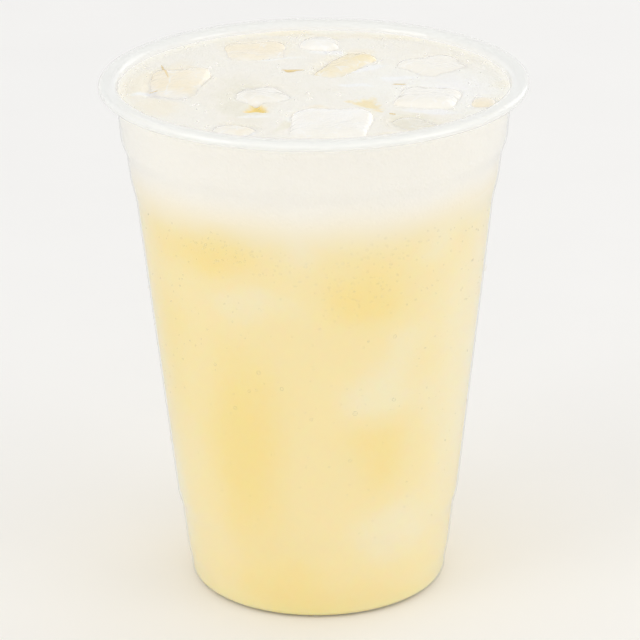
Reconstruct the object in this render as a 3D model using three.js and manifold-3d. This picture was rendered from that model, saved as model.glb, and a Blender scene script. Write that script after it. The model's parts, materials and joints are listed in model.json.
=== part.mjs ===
// A clear plastic cup filled to the brim with iced lemonade under a layer of white froth.
// Millimetres, +Z up. The origin is the middle of the ring that the cup stands on.
import * as THREE from 'three';
import { mergeVertices } from 'three/addons/utils/BufferGeometryUtils.js';
import Module from 'manifold-3d';

// Driving dimensions of the cup
const CUP_HEIGHT = 122.2;
const RIM_RADIUS = 49;
const SHEET = 0.5;
const FOOT_RADIUS = 30.02;
const TAPER = 0.1082;
const WALL_LIMIT = 45.1;
const HEEL_ROUND = 2;
const RING_INNER_RADIUS = 25.2;
const RECESS_RADIUS = 23.6;
const RECESS_HEIGHT = 2.2;

// Rolled lip: how far the sheet turns out, and how tall the roll is outside
const LIP_TURN = 1.4;
const LIP_HEIGHT = 2.3;
const LIP_CURL_END = 46.7;

// Moulded steps of the wall: where each starts, how tall it is and how far it leads out
const WALL_STEPS = [
  { start: 4, rise: 4.5, out: 0.34 },
  { start: 17.5, rise: 5, out: 0.58 },
  { start: 94, rise: 6.5, out: 0.65 },
  { start: 105, rise: 4.5, out: 0.85 },
];
const STEP_PARTS = 3;

// Levels of the contents
const FROTH_BOTTOM = 100;
const FROTH_LEVEL = 119.7;
const MENISCUS = 0.5;
const MENISCUS_WIDTH = 2.5;
const GAP = 0.3;

// Soft swells of the froth's top: waves along X and Y in radians for each millimetre
const SWELL = 0.28;
const SWELL_WAVES = [
  { x: 0.21, y: 0.17, shift: 1.3, share: 1 },
  { x: 0.11, y: -0.26, shift: -0.6, share: 0.6 },
];

// Fineness
const SIDES = 44;
const ARC_PARTS = 4;
const FROTH_RINGS = 5;
const RING_SPREAD = 1.35;

// Ice that breaks the froth: footprint and depth, rounding, middle, tilts in degrees,
// and how far its highest point stands above the froth
const ICE = [
  { name: 'left', size: [15, 24, 15], round: 3.5, middle: [-32, 3], turn: [9, -4, -12], stands: 2 },
  { name: 'back_left', size: [16, 15, 16], round: 3.5, middle: [-13.8, 29.3], turn: [2, 2, 4], stands: 1 },
  { name: 'back', size: [11, 11, 15], round: 3, middle: [1.3, 34.2], turn: [-5, 3, -6], stands: 1.4 },
  { name: 'middle', size: [11, 20, 15], round: 3.5, middle: [7.2, 17], turn: [3, -5, -32], stands: 1.6 },
  { name: 'centre', size: [17, 18, 16], round: 5, middle: [-12.2, -5.2], turn: [-3, 2, 14], stands: 0.9 },
  { name: 'front', size: [20, 20, 16], round: 4, middle: [3.6, -28], turn: [5, -3, -8], stands: 2 },
  { name: 'front_left', size: [14, 10, 14], round: 3.5, middle: [-18, -31], turn: [2, -2, -28], stands: 0.6 },
  { name: 'front_right', size: [11, 13, 14], round: 3.5, middle: [22.4, -28], turn: [2, 2, 38], stands: 0.8 },
  { name: 'right', size: [16, 17, 16], round: 3.5, middle: [25.5, -9], turn: [-5, 3, -14], stands: 1.5 },
  { name: 'far_right', size: [18, 17, 16], round: 4.5, middle: [28.2, 16.6], turn: [3, -2, 30], stands: 0.9 },
  { name: 'chip', size: [6, 8, 8], round: 2, middle: [37.9, -12.6], turn: [5, 3, -14], stands: 0.7 },
];
const MELT = 0.022;
const MELT_WAVE = 0.34;

// Pockets between the pieces of ice, where the froth opens: middle, width along X, length along Y
// and turn in degrees
const POCKETS = [
  { middle: [-13.2, -18.5], width: 5.2, length: 6.5, turn: 0 },
  { middle: [11.8, -13.5], width: 9, length: 3.6, turn: -48 },
  { middle: [-5.7, 12.6], width: 4.2, length: 1.6, turn: 0 },
];
const POCKET_DEPTH = 3.2;
const POCKET_FOOT = 0.32;
const POCKET_SIDES = 8;

const wasm = await Module();
wasm.setup();

function smoothStep(t) {
  const s = THREE.MathUtils.clamp(t, 0, 1);
  return s * s * (3 - 2 * s);
}

// Outer radius of the wall at a height above the heel
function wallRadius(z) {
  let radius = FOOT_RADIUS + TAPER * z;
  for (const step of WALL_STEPS) {
    radius += step.out * smoothStep((z - step.start) / step.rise);
  }
  return Math.min(radius, WALL_LIMIT);
}

function arc(centreX, centreY, radius, from, to, parts) {
  const points = [];
  for (let i = 0; i <= parts; i += 1) {
    const angle = THREE.MathUtils.degToRad(from + ((to - from) * i) / parts);
    points.push(new THREE.Vector2(centreX + radius * Math.cos(angle), centreY + radius * Math.sin(angle)));
  }
  return points;
}

// The middle of the sheet under the cup, from the axis to the inner edge of the ring that it stands on
function floorLine() {
  const half = SHEET / 2;
  return [
    new THREE.Vector2(0, RECESS_HEIGHT + half),
    new THREE.Vector2(RECESS_RADIUS, RECESS_HEIGHT + half),
    new THREE.Vector2(RING_INNER_RADIUS, half),
  ];
}

// The middle of the whole sheet, through the floor, heel and wall to the end of the lip's curl
function sheetLine() {
  const half = SHEET / 2;
  const line = floorLine();
  const heelMiddle = wallRadius(HEEL_ROUND) - HEEL_ROUND;
  line.push(...arc(heelMiddle, HEEL_ROUND, HEEL_ROUND - half, -90, 0, ARC_PARTS - 1));
  for (const step of WALL_STEPS) {
    for (let i = 0; i <= STEP_PARTS; i += 1) {
      const z = step.start + (step.rise * i) / STEP_PARTS;
      line.push(new THREE.Vector2(wallRadius(z) - half, z));
    }
  }
  const turnMiddle = WALL_LIMIT - half + LIP_TURN;
  const turnHeight = CUP_HEIGHT - half - LIP_TURN;
  line.push(...arc(turnMiddle, turnHeight, LIP_TURN, 180, 90, ARC_PARTS - 1));
  const noseRound = LIP_HEIGHT / 2 - half;
  const noseMiddle = RIM_RADIUS - LIP_HEIGHT / 2;
  line.push(...arc(noseMiddle, CUP_HEIGHT - LIP_HEIGHT / 2, noseRound, 90, -90, ARC_PARTS));
  line.push(new THREE.Vector2(LIP_CURL_END, CUP_HEIGHT - LIP_HEIGHT + half));
  return line;
}

// The line moved sideways: to its right, which is the outside of the cup, when distance is above zero
function offsetLine(line, distance) {
  return line.map((point, i) => {
    const before = line[Math.max(i - 1, 0)];
    const after = line[Math.min(i + 1, line.length - 1)];
    const into = point.clone().sub(before).normalize();
    const out = after.clone().sub(point).normalize();
    if (i === 0) into.copy(out);
    if (i === line.length - 1) out.copy(into);
    const along = into.clone().add(out).normalize();
    const stretch = 1 / Math.max(along.dot(out), 0.5);
    return new THREE.Vector2(point.x + along.y * distance * stretch, point.y - along.x * distance * stretch);
  });
}

// The stretch of a rising line between two heights, with a point made at each end
function between(line, low, high) {
  const at = (z) => {
    const i = line.findIndex((point, k) => k > 0 && line[k - 1].y <= z && point.y > z);
    const [a, b] = [line[i - 1], line[i]];
    return a.clone().lerp(b, (z - a.y) / (b.y - a.y));
  };
  const top = line.findIndex((point) => point.y >= high);
  return [at(low), ...line.slice(0, top).filter((point) => point.y > low), at(high)];
}

// A closed solid from a geometry: equal points are joined and triangles without area dropped
function toSolid(geometry) {
  const bare = geometry.clone();
  bare.deleteAttribute('normal');
  bare.deleteAttribute('uv');
  const joined = mergeVertices(bare, 1e-4);
  const corners = joined.index.array;
  const kept = [];
  for (let i = 0; i < corners.length; i += 3) {
    const [a, b, c] = [corners[i], corners[i + 1], corners[i + 2]];
    if (a !== b && b !== c && c !== a) kept.push(a, b, c);
  }
  return new wasm.Manifold(
    new wasm.Mesh({
      numProp: 3,
      vertProperties: new Float32Array(joined.attributes.position.array),
      triVerts: new Uint32Array(kept),
    }),
  );
}

function toMesh(name, solid, material) {
  const { vertProperties, triVerts } = solid.getMesh();
  const geometry = new THREE.BufferGeometry();
  geometry.setAttribute('position', new THREE.BufferAttribute(vertProperties, 3));
  geometry.setIndex(new THREE.BufferAttribute(triVerts, 1));
  geometry.computeVertexNormals();
  const mesh = new THREE.Mesh(geometry, material);
  mesh.name = name;
  return mesh;
}

// A profile turned round +Z
function turned(profile) {
  return new THREE.LatheGeometry(profile, SIDES).rotateX(Math.PI / 2);
}

// Rise of the froth above its level: it climbs the wall a little and swells softly elsewhere
function frothRise(x, y, innerRadius) {
  const radius = Math.hypot(x, y);
  const climb = MENISCUS * smoothStep((radius - innerRadius + MENISCUS_WIDTH) / MENISCUS_WIDTH);
  let swell = 0;
  for (const wave of SWELL_WAVES) swell += wave.share * Math.sin(x * wave.x + y * wave.y + wave.shift);
  return climb + SWELL * swell * (1 - smoothStep(radius / innerRadius));
}

// A block of ice with melted edges. grow makes it larger all round, for its bed in the froth.
// The box has a row of points at each edge of a flat side, one at its middle and one at each corner.
function iceGeometry(piece, grow) {
  const half = piece.size.map((side) => side / 2 + grow);
  const round = piece.round + grow;
  const geometry = new THREE.BoxGeometry(2, 2, 2, 4, 4, 4);
  const position = geometry.attributes.position;
  const point = new THREE.Vector3();
  for (let i = 0; i < position.count; i += 1) {
    point.fromBufferAttribute(position, i);
    const onBlock = [point.x, point.y, point.z].map((value, k) => {
      const share = Math.abs(value) === 0.5 ? Math.sign(value) * (1 - round / half[k]) : value;
      return share * half[k];
    });
    const core = onBlock.map((value, k) => THREE.MathUtils.clamp(value, round - half[k], half[k] - round));
    const out = new THREE.Vector3(...onBlock.map((value, k) => value - core[k])).setLength(round);
    point.set(...core).add(out);
    const waveX = Math.sin(point.x * MELT_WAVE + piece.middle[0]);
    const waveY = Math.cos(point.y * MELT_WAVE + piece.middle[1]);
    point.multiplyScalar(1 + MELT * (waveX + waveY));
    position.setXYZ(i, point.x, point.y, point.z);
  }
  return geometry;
}

// Puts a block's geometry in its place, so that the block as it is, not grown, stands as its row says
function placeIce(geometry, piece) {
  const [tiltX, tiltY, turn] = piece.turn.map(THREE.MathUtils.degToRad);
  const rotation = new THREE.Matrix4().makeRotationFromEuler(new THREE.Euler(tiltX, tiltY, turn, 'ZYX'));
  const bare = iceGeometry(piece, 0).applyMatrix4(rotation);
  bare.computeBoundingBox();
  const lift = FROTH_LEVEL + piece.stands - bare.boundingBox.max.z;
  return geometry.applyMatrix4(rotation).translate(piece.middle[0], piece.middle[1], lift);
}

// A pocket is a hollow as wide as its row says at its mouth and narrow at its foot
function pocketSolid(pocket) {
  const above = 1;
  const height = POCKET_DEPTH + above;
  const geometry = new THREE.CylinderGeometry(0.5, 0.5 * POCKET_FOOT, height, POCKET_SIDES, 1);
  geometry.rotateX(Math.PI / 2);
  geometry.scale(pocket.width, pocket.length, 1);
  geometry.rotateZ(THREE.MathUtils.degToRad(pocket.turn));
  geometry.translate(pocket.middle[0], pocket.middle[1], FROTH_LEVEL + above - height / 2);
  return toSolid(geometry);
}

function makeCup(line) {
  const half = SHEET / 2;
  const profile = [...offsetLine(line, half), ...offsetLine(line, -half).reverse()];
  return toSolid(turned(profile));
}

function makeLemonade(contentsLine) {
  const top = FROTH_BOTTOM - GAP / 2;
  const floorPoints = floorLine().length;
  const floor = contentsLine.slice(0, floorPoints);
  const wall = contentsLine.slice(floorPoints);
  const profile = [...floor, ...between(wall, wall[0].y, top), new THREE.Vector2(0, top)];
  return toSolid(turned(profile));
}

function makeFroth(contentsLine, beds) {
  const side = between(contentsLine, FROTH_BOTTOM + GAP / 2, FROTH_LEVEL);
  const innerRadius = side.at(-1).x;
  const rings = [];
  for (let i = 1; i <= FROTH_RINGS; i += 1) {
    const share = 1 - (i / FROTH_RINGS) ** RING_SPREAD;
    rings.push(new THREE.Vector2(innerRadius * share, FROTH_LEVEL));
  }
  const profile = [new THREE.Vector2(0, side[0].y), ...side, ...rings];
  const geometry = turned(profile);
  const position = geometry.attributes.position;
  for (let i = 0; i < position.count; i += 1) {
    const [x, y, z] = [position.getX(i), position.getY(i), position.getZ(i)];
    if (z > FROTH_LEVEL - 0.01) position.setZ(i, z + frothRise(x, y, innerRadius));
  }
  const hollows = [...beds, ...POCKETS.map(pocketSolid)];
  return hollows.reduce((solid, hollow) => solid.subtract(hollow), toSolid(geometry));
}

const clearPlastic = new THREE.MeshStandardMaterial({
  color: '#f4f6f5',
  roughness: 0.12,
  metalness: 0,
  transparent: true,
  opacity: 0.3,
});
const cloudyLemonade = new THREE.MeshStandardMaterial({ color: '#f4e0a2', roughness: 0.25, metalness: 0 });
const whiteFroth = new THREE.MeshStandardMaterial({ color: '#f5f2ea', roughness: 0.6, metalness: 0 });
const frostedIce = new THREE.MeshStandardMaterial({
  color: '#f7f7f2',
  roughness: 0.15,
  metalness: 0,
  transparent: true,
  opacity: 0.7,
});

const line = sheetLine();
const contentsLine = offsetLine(line, -SHEET / 2 - GAP);
const beds = ICE.map((piece) => toSolid(placeIce(iceGeometry(piece, GAP), piece)));

const drink = new THREE.Group();
drink.add(toMesh('cup', makeCup(line), clearPlastic));
drink.add(toMesh('lemonade', makeLemonade(contentsLine), cloudyLemonade));
drink.add(toMesh('froth', makeFroth(contentsLine, beds), whiteFroth));
for (const piece of ICE) {
  drink.add(toMesh(`ice_${piece.name}`, toSolid(placeIce(iceGeometry(piece, 0), piece)), frostedIce));
}

export default drink;
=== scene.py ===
"""A clear plastic cup of iced lemonade under white froth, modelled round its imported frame."""

import json
import math
import random

import bmesh
import bpy
from mathutils import Matrix, Quaternion, Vector, noise
from mathutils.bvhtree import BVHTree

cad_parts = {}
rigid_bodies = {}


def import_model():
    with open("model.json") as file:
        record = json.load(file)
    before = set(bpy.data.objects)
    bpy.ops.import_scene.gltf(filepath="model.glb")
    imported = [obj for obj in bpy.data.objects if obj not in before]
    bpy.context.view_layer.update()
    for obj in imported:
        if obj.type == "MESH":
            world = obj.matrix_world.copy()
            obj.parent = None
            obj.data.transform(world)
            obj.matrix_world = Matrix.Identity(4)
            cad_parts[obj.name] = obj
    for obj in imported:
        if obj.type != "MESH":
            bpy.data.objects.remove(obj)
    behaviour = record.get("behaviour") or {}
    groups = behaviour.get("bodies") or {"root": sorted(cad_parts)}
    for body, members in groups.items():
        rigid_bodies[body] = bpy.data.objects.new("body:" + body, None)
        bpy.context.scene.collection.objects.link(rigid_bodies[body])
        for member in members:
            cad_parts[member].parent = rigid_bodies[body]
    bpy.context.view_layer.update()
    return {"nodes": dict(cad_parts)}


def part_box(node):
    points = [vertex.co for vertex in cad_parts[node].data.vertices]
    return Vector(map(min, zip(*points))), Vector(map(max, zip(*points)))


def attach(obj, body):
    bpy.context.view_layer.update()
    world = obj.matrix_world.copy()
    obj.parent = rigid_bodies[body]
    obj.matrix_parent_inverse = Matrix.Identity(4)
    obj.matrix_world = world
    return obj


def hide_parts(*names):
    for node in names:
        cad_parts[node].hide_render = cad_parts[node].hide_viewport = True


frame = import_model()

bl_info = {
    "name": "Iced Lemonade",
    "version": (1, 0, 0),
    "blender": (4, 5, 0),
    "location": "View3D > Sidebar > Lemonade",
    "description": "Builds a clear plastic cup of iced lemonade with froth and ice",
    "category": "Add Mesh",
}

MM = 0.001
BUBBLE_SEED = 41
DEW_SEED = 42
CUP_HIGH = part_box("cup")[1]
FROTH_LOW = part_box("froth")[0]
ICE_NODES = sorted(name for name in frame["nodes"] if name.startswith("ice_"))
UP, DOWN = Vector((0, 0, 1)), Vector((0, 0, -1))

# Moulded steps of the wall in mm: where each starts, how tall it is and how far it leads out
WALL_STEPS = ((4, 4.5, 0.34), (17.5, 5, 0.58), (94, 6.5, 0.65), (105, 4.5, 0.85))
# Points on each step and quarter turn of the sheet's line, and on its floor before the heel
STEP_PARTS, ARC_PARTS, FLOOR_POINTS = 7, 10, 4
# The most that a corner of an offset line moves, in offsets
MOST_STRETCH = 2

# Faces round each turned piece, rings on the froth's top, and a row's height up the drink's wall
CUP_FACES, LEMONADE_FACES, FROTH_FACES, FROTH_RINGS, WALL_ROW = 192, 240, 256, 120, 0.9 * MM
# The froth and the lemonade meet this far under the froth's solid
SEAM = 0.15 * MM
# Points closer than this are one, on a turned piece and on a block of ice
SAME_PLACE, SAME_ICE = 0.001 * MM, 0.01 * MM
SHARP_ANGLE = math.radians(50)

# Cuts and rounds of smoothing on a block of ice, and how much smaller its bed is
ICE_CUTS, ICE_ROUNDS, BED_GAP = 3, 3, 0.15 * MM
# Layers of noise, each by its height in mm and its cells for each mm: the ice's dents, the froth's
# swells and ripples, and the wandering line where it ends on a block
ICE_DENTS = ((0.45, 0.16), (0.12, 0.55))
FROTH_SWELL = ((0.34, 0.07), (0.2, 0.21), (0.07, 0.75))
FROTH_FINE = ((0.035, 2.1),)
SHORE = ((0.7, 0.35), (0.35, 1.1))

# How the froth climbs at the wall, and how far from the wall its swells end
MENISCUS, MENISCUS_REACH, CALM_REACH = 0.5 * MM, 2.5 * MM, 4 * MM
# How the froth laps up at the ice and how it ends on it, in mm, and how far it dips under bare ice
LAP, LAP_REACH, SHORE_FADE, UNDER_ICE = 0.12, 1.5, 1.4, 0.22 * MM
# Half the height in mm over which a block's edge fades, and how frosted it is below that
EDGE_FADE, EDGE_FROST = 0.7, 0.75
# Rounds of smoothing on the froth's top, and how near the wall it is left as it is
FROTH_ROUNDS, FIXED_RIM = 4, 1 * MM

# Where the froth opens on the drink, in mm: middle, length to the tip and half breadth, the tip's
# bearing from +X in degrees, and how open it is. Each opening has three sides.
POCKETS = (
    ((-12.8, -15.4), (6.2, 3.2), 90, 1.0),
    ((12.1, -13.2), (7.6, 4.2), -65, 0.5),
    ((-5.7, 12.6), (2.3, 1.0), 0, 0.6),
)
POCKET_SIDES = (math.pi, math.pi / 3, -math.pi / 3)
POCKET_DEPTH = 0.9

# How each block of ice looks: how frosted it is on the whole, how much more so towards one side,
# that side's bearing from +X in degrees, how golden its clear part is or, below zero, how much
# painted shade darkens it to a greyish tone, and how far under the froth's level, in mm, its top
# still lies bare
ICE_LOOKS = {
    "ice_left": (0.2, 0.4, 10, 0.25, 0.55),
    "ice_back_left": (0.15, 0.6, -90, 0.2, 0.6),
    "ice_back": (1.0, 0.1, 200, 0, 0.4),
    "ice_middle": (0.2, 0.5, -45, 0.6, 0.5),
    "ice_centre": (0.6, 0.3, 90, -0.5, -0.35),
    "ice_front": (1.05, 0.2, 100, 0.1, 0.6),
    "ice_front_left": (0.5, 0.2, 180, 0.2, 0.1),
    "ice_front_right": (0.1, 0.3, 90, -0.8, 0.3),
    "ice_right": (0.8, 0.2, 0, 0, 0.2),
    "ice_far_right": (0.75, 0.2, 45, 0, 0.1),
    "ice_chip": (0.3, 0.3, 90, 0.2, 0.4),
}

# Soft places seen through the wall: pale where sunk ice lies close behind it, deep between blocks.
# Each is a bearing from the front in degrees, a height in mm, half sizes in degrees and mm, and a
# strength.
CLOUDS = (
    (-24, 81, 14, 6, 0.5),
    (-6, 92, 8, 4, 0.3),
    (21, 57, 15, 7, 0.5),
    (30, 70, 8, 7, 0.3),
    (32, 21, 18, 9, 0.45),
    (62, 58, 20, 42, 0.42),
    (-80, 20, 15, 16, 0.45),
    (-66, 68, 17, 27, -0.45),
    (41, 92, 8, 4, 0.3),
    (-3, 81, 8, 6, 0.25),
    (-38, 91, 20, 6, -0.4),
    (16, 83, 17, 8, -0.4),
    (-28, 42, 15, 26, -0.5),
    (22, 43, 16, 9, -0.35),
    (4, 6, 45, 8, -0.3),
    (108, 80, 16, 9, -0.5),
    (118, 42, 20, 20, -0.5),
    (140, 74, 15, 8, 0.5),
    (150, 24, 18, 10, 0.45),
    (172, 52, 15, 18, -0.55),
    (-165, 86, 16, 7, 0.4),
    (-150, 36, 18, 12, 0.5),
    (-128, 66, 16, 16, -0.5),
    (-112, 90, 14, 6, 0.35),
    (-108, 18, 20, 10, -0.4),
)

# Soft patches on the froth's top in mm: middle, half sizes, turn in degrees, and a strength that is
# above zero where lemonade shows through and below zero where a greyish painted shade is laid on
TOP_PATCHES = (
    ((-6, 43.2), (4.2, 1.8), 0, 1.0),
    ((11, 39.5), (15, 2.2), -8, 0.7),
    ((-13.5, 31), (10, 8), 0, 0.8),
    ((5, 18), (5, 10), -35, 0.6),
    ((10.5, 26.5), (3, 3.5), -35, 0.9),
    ((-38.6, 4), (4, 10), -19, 1.0),
    ((-30.5, 12), (3, 9), 0, 0.7),
    ((-35.5, -14.5), (5.5, 7), 0, 0.9),
    ((-20, -32), (4, 1.8), 0, 0.8),
    ((-15.2, -15), (6, 14), 0, -0.9),
    ((39.7, -13), (3.5, 4.5), 0, 0.7),
    ((42.5, 0.4), (2, 3), 0, 0.6),
    ((27.4, 10.5), (2, 0.9), 0, 0.7),
    ((13.5, -19.5), (2.5, 4.5), -30, 0.7),
    ((21.5, -27), (7, 8), 20, -1.0),
    ((17, -36), (3.5, 2), 0, 0.8),
    ((0.5, -16), (2.5, 1.6), 0, 0.8),
    ((34, 19), (10, 5), -30, 0.25),
    ((-5.6, -26), (0.8, 7.5), -22, -1.6),
    ((-17, 0), (14, 12), 0, -0.45),
)

# White streaks of froth round the ice in mm: middle, half sizes, turn and strength
STREAKS = (
    ((-10.5, 22.4), (7.5, 1.5), 3, 0.7),
    ((11, 13), (5.5, 1.4), 33, 0.85),
    ((-37.6, -2), (4.6, 1.2), 35, 0.9),
    ((-32, -2.2), (3, 1.2), -58, 0.8),
    ((9.5, 0.8), (3.4, 1.3), 0, 0.7),
    ((27.4, 13.3), (2.4, 1.2), 0, 0.7),
    ((3, 27.5), (5, 2.2), -20, 0.7),
    ((-15.5, -33.2), (3.4, 1), -10, 0.8),
    ((-4, -22.4), (1.3, 4), -30, 0.8),
    ((19, 6.5), (4, 1.4), 10, 0.5),
    ((25, -19), (6.5, 1.6), -12, 0.7),
    ((-13.5, -22.4), (4, 1.4), 0, 0.7),
    ((21, 3), (17, 15), 0, 0.4),
    ((36, -9), (10, 17), 0, 0.38),
)

# Golden flecks of pulp on the top in mm: middle, length, breadth and turn in degrees
FLECKS = (
    ((-34.4, 12.4), 12.2, 0.55, 100),
    ((-4.8, 13.3), 5.4, 0.8, 3),
    ((19.5, 2.1), 3.2, 0.7, 0),
    ((17.4, -21.6), 1.8, 0.8, -40),
    ((-36.5, -0.5), 2.6, 0.4, 30),
)

# Single drops on the wall: bearing from the front in degrees, height and radius in mm
DROPS = (
    (-20, 64, 0.5),
    (-24, 59, 0.4),
    (-12, 60.5, 0.45),
    (-37, 64, 0.4),
    (-30, 54, 0.45),
    (13.5, 54, 0.55),
    (28, 56, 0.45),
    (12, 42, 0.4),
    (-2, 53, 0.4),
    (27, 72, 0.45),
    (88, 76, 0.8),
    (-91, 33, 0.8),
    (-88, 72, 0.45),
    (-90, 66, 0.4),
    (150, 70, 0.6),
    (172, 40, 0.5),
    (-140, 58, 0.55),
)

# Patches of fine dew: bearing, height, spread in degrees, spread in mm, and how many drops
DEW_CLUSTERS = (
    (-31, 93, 9, 1.8, 60),
    (-12, 90, 9, 2, 30),
    (13, 86, 8, 4, 90),
    (24, 93, 8, 2, 40),
    (140, 88, 12, 3, 70),
    (-150, 92, 12, 3, 60),
)
# Sizes in mm and breadths of drops in a patch, and of loose ones all over the wall
CLUSTER_SIZES, CLUSTER_BREADTHS = (0.1, 0.28), (0.8, 1.6)
LOOSE_DROPS, LOOSE_SIZES, LOOSE_BREADTHS = 600, (0.08, 0.24), (0.8, 1.4)
# Lowest, highest and most usual height of a loose drop, in mm
LOOSE_HEIGHTS = (8, 99, 92)
DROP_FLATNESS = 0.5
# How many beads are made in one go
BEAD_BATCH = 40

# Bubbles on the froth: how many, their sizes in mm, the share of small ones, how flat they are, and
# how far they stay from the wall
BUBBLES, SMALL_BUBBLE, LARGE_BUBBLE, SMALL_SHARE = 150, (0.14, 0.34), (0.34, 0.6), 0.85
BUBBLE_FLATNESS, BUBBLE_MARGIN = 0.6, 0.7 * MM
# How near ice or wall most bubbles lie, how many of the others stay, how clear of ice they all are,
# and how level the froth is under them
BUBBLE_NEAR, STRAY_SHARE, ICE_MARGIN, FLAT_ENOUGH = 1.6 * MM, 0.12, 0.8 * MM, 0.8
FLECK_THICKNESS = 0.16 * MM

# How strongly each clear or wet thing bends light
PET_IOR, DRINK_IOR, WATER_IOR, ICE_IOR, PULP_IOR = 1.57, 1.34, 1.33, 1.31, 1.36
FILM_ROUGHNESS, FILM_SHINE = 0.05, 0.8
# Colours of small parts, among them the white of the lip and of the cup's painted edge reflection,
# and the dew's painted rim highlight and painted rim shade; and of the clear part of a bubble's
# skin
PET_LIP_AND_GLINT_WHITE, BUBBLE_MILK, DEW_RIM_GLINT, DEW_RIM_SHADE = "#F9F8F4", "#FDFBF4", "#FBFAF4", "#F8F0DA"
WHITE_FROTH, WHITE_ICE = "#FFFDF7", "#FFFEFA"
PULP_DEEP, PULP_PALE = "#E3C88C", "#F7E5B8"
BUBBLE_TINT = (0.98, 0.98, 0.97, 1)
# The mix node's sockets for colours
MIX_FIRST, MIX_SECOND, MIX_RESULT = 6, 7, 2

# Radius of the floor in metres, its edges, and how far it lies under the foot
FLOOR_RADIUS, FLOOR_EDGES, FLOOR_GAP = 4, 96, 0.05 * MM
SENSOR_WIDTH = 36
# The studio's light from its horizon and from overhead
HORIZON, OVERHEAD = 1.07, 0.8
# Soft square lamps that face the cup: name, place in metres and power in watts
LAMPS = (
    ("key", (-1.4, -0.9, 0.6), 5.0),
    ("fill", (1.5, -0.7, 0.5), 4.5),
    ("back", (1.1, 1.2, 0.6), 2.2),
)
LAMP_SIZE, LAMP_AIM = 0.9, Vector((0, 0, 0.06))


def linear(hex_colour, alpha=1.0):
    """An sRGB hex colour as linear red, green, blue and alpha."""
    parts = [int(hex_colour[i : i + 2], 16) / 255 for i in (1, 3, 5)]
    light = [c / 12.92 if c <= 0.04045 else ((c + 0.055) / 1.055) ** 2.4 for c in parts]
    return light + [alpha]


def smooth_step(value, low, high):
    """0 below low, 1 above high and a soft rise between."""
    t = min(max((value - low) / (high - low), 0.0), 1.0)
    return t * t * (3 - 2 * t)


def number(name, description, value, **options):
    """A property for a number."""
    return bpy.props.FloatProperty(name=name, description=description, default=value, **options)


def length(name, description, value):
    """A property for a length in metres."""
    return number(name, description, value, unit="LENGTH", precision=5)


def colour(name, description, hex_colour):
    """A property for a surface colour."""
    return bpy.props.FloatVectorProperty(
        name=name,
        description=description,
        default=linear(hex_colour)[:3],
        subtype="COLOR",
        min=0,
        max=1,
    )


class CupSizes(bpy.types.PropertyGroup):
    """Sizes and look of the cup."""

    height: length("Height", "Table to the lip's crest", CUP_HIGH.z)
    rim: length("Rim radius", "Axis to the outside of the lip", CUP_HIGH.x)
    sheet: length("Sheet", "Thickness of the plastic", 0.5 * MM)
    foot: length("Foot radius", "Where the wall's line would meet the table", 30.02 * MM)
    taper: number("Taper", "Spread of the wall with height", 0.1082)
    neck: length("Neck radius", "Outside of the wall just under the lip", 45.1 * MM)
    lip_turn: length("Lip turn", "Radius by which the sheet turns out into the lip", 1.4 * MM)
    lip_height: length("Lip height", "Height of the rolled lip", 2.3 * MM)
    lip_end: length("Lip end", "Radius at which the curl ends", 46.7 * MM)
    tint: colour("Plastic", "Tint of the clear sheet", "#FCFDFD")


class DrinkLooks(bpy.types.PropertyGroup):
    """Levels and colours of what is in the cup."""

    froth_low: length("Froth foot", "Height at which the froth begins", FROTH_LOW.z)
    level: length("Level", "Height of the froth's top", 119.7 * MM)
    reach: length("Reach", "How far the drink reaches into the wall", 0.12 * MM)
    deep: colour("Deep lemonade", "Lemonade between the blocks of sunk ice", "#F6DE94")
    clear: colour("Lemonade", "Cloudy lemonade", "#F6E3AD")
    pale: colour("Pale lemonade", "Lemonade with ice close behind it", "#F4E8C3")
    froth: colour("Froth", "White froth", "#F9F3E9")
    # Painted shade: the froth seen through the wall is a touch darker than the froth on top.
    froth_wall_shade: colour("Froth at the wall", "Froth seen through the wall", "#F5F0E7")
    pocket: colour("Pocket", "Lemonade seen in the gaps of the froth", "#FFDC82")
    soaked: colour("Soaked froth", "Froth stained by the lemonade in it", "#FBF0DF")
    clear_ice: colour("Clear ice", "Drink seen through clear ice", "#FFF4DF")
    # Painted shade: a greyish froth colour laid where thin froth covers clear ice and on shaded
    # places of the top.
    grey_shade: colour("Grey froth", "Thin froth with clear ice right under it", "#F0ECDD")
    gold_ice: colour("Golden ice", "Lemonade seen through clear ice", "#FAE8B6")
    ice: colour("Ice", "Tint of the ice's skin", "#FBFCFB")
    frost: colour("Frost", "Frosted ice", "#FAF6EC")


class StageLooks(bpy.types.PropertyGroup):
    """Camera, light and floor."""

    distance: length("Distance", "Camera to the point it looks at", 800.7 * MM)
    elevation: number("Elevation", "Height of the view", math.radians(21.03), subtype="ANGLE")
    roll: number("Roll", "Turn of the picture", math.radians(-0.56), subtype="ANGLE")
    aim: bpy.props.FloatVectorProperty(
        name="Aim",
        description="Point the camera looks at",
        default=(0.9 * MM, 0, 62.84 * MM),
        unit="LENGTH",
    )
    lens: number("Lens", "Focal length in mm", 192.9)
    floor: colour("Floor", "Pale matt floor", "#F7F6F4")


GROUPS = {"lemonade_cup": CupSizes, "lemonade_drink": DrinkLooks, "lemonade_stage": StageLooks}


# Shaders


def add(tree, kind, inputs=None, **settings):
    """Adds a node, sets its settings, and gives each input a value or a link."""
    made = tree.nodes.new(kind)
    for name, value in settings.items():
        setattr(made, name, value)
    for name, value in (inputs or {}).items():
        socket = made.inputs[name]
        if isinstance(value, bpy.types.NodeSocket):
            tree.links.new(value, socket)
        else:
            socket.default_value = value
    return made


def new_material(name):
    """An empty node material with its tree."""
    material = bpy.data.materials.new(name)
    material.use_nodes = True
    material.node_tree.nodes.clear()
    return material, material.node_tree


def finish_material(tree, surface):
    """Ends a material with its surface."""
    add(tree, "ShaderNodeOutputMaterial", {"Surface": surface})


def rgba(value):
    """A colour property as four numbers."""
    return (*value, 1.0)


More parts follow.
